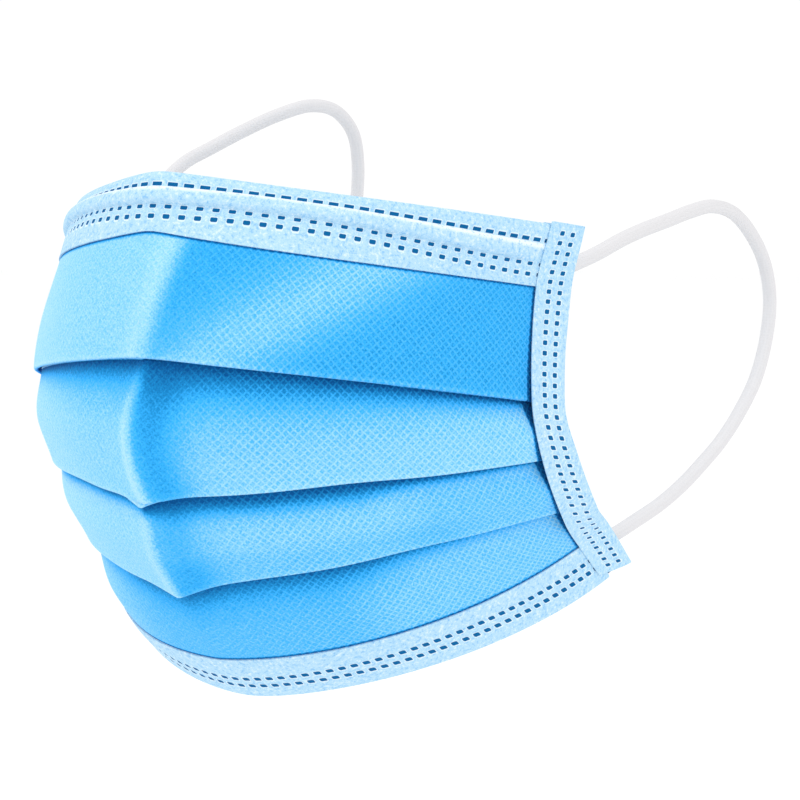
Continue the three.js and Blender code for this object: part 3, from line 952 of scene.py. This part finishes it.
def smooth_route(route):
    """A centripetal curve through the points of a route, close enough together to be smooth."""
    points = [Vector(point) for point in route]
    points = [2 * points[0] - points[1], *points, 2 * points[-1] - points[-2]]
    line = []
    for a, b, c, d in zip(points, points[1:], points[2:], points[3:]):
        t1 = (b - a).length ** 0.5
        t2 = t1 + (c - b).length ** 0.5
        t3 = t2 + (d - c).length ** 0.5
        for i in range(ROUTE_STEPS):
            t = t1 + (t2 - t1) * i / ROUTE_STEPS
            ab = a + (b - a) * (t / t1)
            bc = b + (c - b) * ((t - t1) / (t2 - t1))
            cd = c + (d - c) * ((t - t2) / (t3 - t2))
            abc = ab + (bc - ab) * (t / t2)
            bcd = bc + (cd - bc) * ((t - t1) / (t3 - t1))
            line.append(abc + (bcd - abc) * ((t - t1) / (t2 - t1)))
    return line + [points[-2]]


def tube(name, line, radius, sides):
    """A round tube along a line, pressed flatter at both ends, with closed ends."""
    gaps = [0.0]
    for a, b in zip(line, line[1:]):
        gaps.append(gaps[-1] + (b - a).length)
    total = gaps[-1]
    normal = Vector((1, 0, 0))
    vertices, uvs = [], []
    for i, point in enumerate(line):
        ahead = (line[min(i + 1, len(line) - 1)] - line[max(i - 1, 0)]).normalized()
        normal = (normal - ahead * normal.dot(ahead)).normalized()
        beside = ahead.cross(normal)
        near_end = min(gaps[i], total - gaps[i]) / FLAT_LENGTH
        press = FLAT_END + (1 - FLAT_END) * float(smooth(near_end))
        for j in range(sides):
            angle = 2 * math.pi * j / sides
            vertices.append(point + normal * math.cos(angle) * radius * press
                            + beside * math.sin(angle) * radius * (1 + 0.25 * (1 - press)))
    faces = []
    for i in range(len(line) - 1):
        for j in range(sides):
            k = (j + 1) % sides
            faces.append((i * sides + j, i * sides + k, (i + 1) * sides + k, (i + 1) * sides + j))
            uvs += [(j / sides, gaps[i]), ((j + 1) / sides, gaps[i]),
                    ((j + 1) / sides, gaps[i + 1]), (j / sides, gaps[i + 1])]
    last = (len(line) - 1) * sides
    faces.append(tuple(range(sides - 1, -1, -1)))
    faces.append(tuple(range(last, last + sides)))
    uvs += [(0, 0)] * (2 * sides)
    mesh = bpy.data.meshes.new(name)
    mesh.from_pydata(vertices, [], faces)
    layer = mesh.uv_layers.new(name="cloth")
    layer.data.foreach_set("uv", [value for uv in uvs for value in uv])
    obj = bpy.data.objects.new(name, mesh)
    bpy.context.collection.objects.link(obj)
    return obj, total


def weld_tab(name, side, down):
    """The flattened end of an ear loop, pressed with a grid of small pockets."""
    bpy.ops.object.select_all(action="DESELECT")
    bpy.ops.mesh.primitive_grid_add(x_subdivisions=7, y_subdivisions=5, size=1)
    tab = bpy.context.object
    tab.name = tab.data.name = name
    bpy.ops.object.mode_set(mode="EDIT")
    bpy.ops.mesh.select_all(action="SELECT")
    bpy.ops.transform.resize(value=(TAB_LENGTH, TAB_WIDTH, 1))
    bpy.ops.object.mode_set(mode="OBJECT")
    thicken(tab, TAB_THICKNESS)
    for polygon in tab.data.polygons:
        centre = polygon.center
        polygon.select = (polygon.normal.z > 0.9 and abs(centre.x) < 0.42 * TAB_LENGTH
                          and abs(centre.y) < 0.4 * TAB_WIDTH)
    bpy.ops.object.mode_set(mode="EDIT")
    bpy.ops.mesh.select_mode(type="FACE")
    bpy.ops.mesh.inset(thickness=POCKET_RIM, depth=-POCKET_DEPTH, use_individual=True)
    bpy.ops.object.mode_set(mode="OBJECT")
    apply_modifier(tab, "Edges", "BEVEL", width=0.00016, segments=2, limit_method="ANGLE",
                   angle_limit=math.radians(60))

    def spot(along, out):
        return Vector(place(np.array([side * along]), np.array([down]), np.array([out]))[0])

    at = spot(TAB_ALONG, TAB_OUT)
    x_axis = (spot(TAB_ALONG + 1, TAB_OUT) - at).normalized()
    z_axis = (spot(TAB_ALONG, TAB_OUT - 1) - at).normalized()
    y_axis = z_axis.cross(x_axis).normalized()
    turn = Matrix((x_axis, y_axis, z_axis)).transposed().to_4x4()
    tab.data.transform(Matrix.Translation(at * MM) @ turn)
    return tab


class FACEMASK_OT_loops(bpy.types.Operator):
    """Make the two round ear loops and their welded ends"""
    bl_idname = "facemask.loops"
    bl_label = "Ear Loops"

    def execute(self, context):
        settings = context.scene.mask_loops
        cover = loop_cover(settings)
        for side_name, side, route in (("left", 1, LEFT_ROUTE), ("right", -1, RIGHT_ROUTE)):
            for end, down in TAB_DOWNS.items():
                tab = weld_tab(f"loop_weld_{side_name}_{end}_visual", side, down)
                tab.data.materials.append(cover)
                settle(tab, f"loop_weld_{side_name}_{end}", 40)
            line = smooth_route(route)
            loop, total = tube(f"ear_loop_{side_name}_visual", line, settings.diameter / 2,
                               settings.sides)
            loop.data.materials.append(cover)
            settle(loop, f"ear_loop_{side_name}")
        return {"FINISHED"}


class FACEMASK_OT_wire(bpy.types.Operator):
    """Give the nose wire its plastic finish"""
    bl_idname = "facemask.wire"
    bl_label = "Nose Wire"

    def execute(self, context):
        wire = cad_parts["nose_wire"]
        wire.data.materials.clear()
        wire.data.materials.append(plain_plastic())
        return {"FINISHED"}


# ---------------------------------------------------------------- the studio

CAMERA_PLACE = (0.2876, -0.4899, 0.0462)
CAMERA_AZIMUTH, CAMERA_ELEVATION = math.radians(28.65), math.radians(4.82)
CAMERA_LENS = 125.3
FLOOR_RADIUS = 6
WORLD_STRENGTH = 1.03
# azimuth and elevation in degrees, distance, size, power
LIGHTS = {
    "key": (-35, 52, 1.8, 1.2, 6.8),
    "fill": (76, 35, 1.8, 1.4, 4.5),
}


class FACEMASK_OT_camera(bpy.types.Operator):
    """Place the camera in front of the mask, to its left"""
    bl_idname = "facemask.camera"
    bl_label = "Camera"

    def execute(self, context):
        bpy.ops.object.camera_add(
            location=CAMERA_PLACE, rotation=(math.pi / 2 - CAMERA_ELEVATION, 0, CAMERA_AZIMUTH))
        camera = context.object
        camera.name = "camera"
        camera.data.lens = CAMERA_LENS
        camera.data.clip_start = 0.01
        context.scene.camera = camera
        return {"FINISHED"}


class FACEMASK_OT_studio(bpy.types.Operator):
    """Make the pale floor, the soft lights and the white surroundings"""
    bl_idname = "facemask.studio"
    bl_label = "Studio"

    def execute(self, context):
        settings = context.scene.mask_studio
        low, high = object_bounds()
        middle = (low + high) / 2
        bpy.ops.object.select_all(action="DESELECT")
        bpy.ops.mesh.primitive_circle_add(
            vertices=96, radius=FLOOR_RADIUS, fill_type="NGON",
            location=(0, 0, low.z - settings.floor_drop))
        floor = context.object
        floor.name = "floor"
        bpy.ops.object.transform_apply(location=True, rotation=True, scale=True)
        floor.data.materials.append(floor_finish(settings))
        floor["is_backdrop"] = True
        for name, (azimuth, elevation, distance, size, power) in LIGHTS.items():
            a, e = math.radians(azimuth), math.radians(elevation)
            back = Vector((math.sin(a) * math.cos(e), -math.cos(a) * math.cos(e), math.sin(e)))
            bpy.ops.object.light_add(type="AREA", location=middle + back * distance)
            light = context.object
            light.name = name
            light.data.shape = "DISK"
            light.data.size = size
            light.data.energy = power
            light.rotation_euler = back.to_track_quat("Z", "Y").to_euler()
        world = bpy.data.worlds.new("white_studio")
        world.use_nodes = True
        background = world.node_tree.nodes["Background"]
        background.inputs["Color"].default_value = (1, 1, 1, 1)
        background.inputs["Strength"].default_value = WORLD_STRENGTH
        context.scene.world = world
        context.scene.view_settings.view_transform = "Standard"
        return {"FINISHED"}


OPERATORS = (FACEMASK_OT_camera, FACEMASK_OT_loops, FACEMASK_OT_cloth, FACEMASK_OT_hems,
             FACEMASK_OT_bindings, FACEMASK_OT_wire, FACEMASK_OT_studio)
SETTINGS = {"mask_cloth": ClothSettings, "mask_strips": StripSettings, "mask_loops": LoopSettings,
            "mask_studio": StudioSettings}


class FACEMASK_PT_panel(bpy.types.Panel):
    """The steps of the mask, in the order in which they are made"""
    bl_idname = "FACEMASK_PT_panel"
    bl_label = "Face Mask"
    bl_space_type = "VIEW_3D"
    bl_region_type = "UI"
    bl_category = "Face Mask"

    def draw(self, context):
        for operator in OPERATORS:
            self.layout.operator(operator.bl_idname)
        for key, settings in SETTINGS.items():
            box = self.layout.box()
            for name in settings.__annotations__:
                box.prop(getattr(context.scene, key), name)


def register():
    for settings in SETTINGS.values():
        bpy.utils.register_class(settings)
    for operator in (*OPERATORS, FACEMASK_PT_panel):
        bpy.utils.register_class(operator)
    for key, settings in SETTINGS.items():
        setattr(bpy.types.Scene, key, PointerProperty(type=settings))


def unregister():
    for key in SETTINGS:
        delattr(bpy.types.Scene, key)
    for operator in (*OPERATORS, FACEMASK_PT_panel):
        bpy.utils.unregister_class(operator)
    for settings in SETTINGS.values():
        bpy.utils.unregister_class(settings)


def main():
    register()
    for operator in OPERATORS:
        group, step = operator.bl_idname.split(".")
        getattr(getattr(bpy.ops, group), step)()


if __name__ == "__main__":
    main()
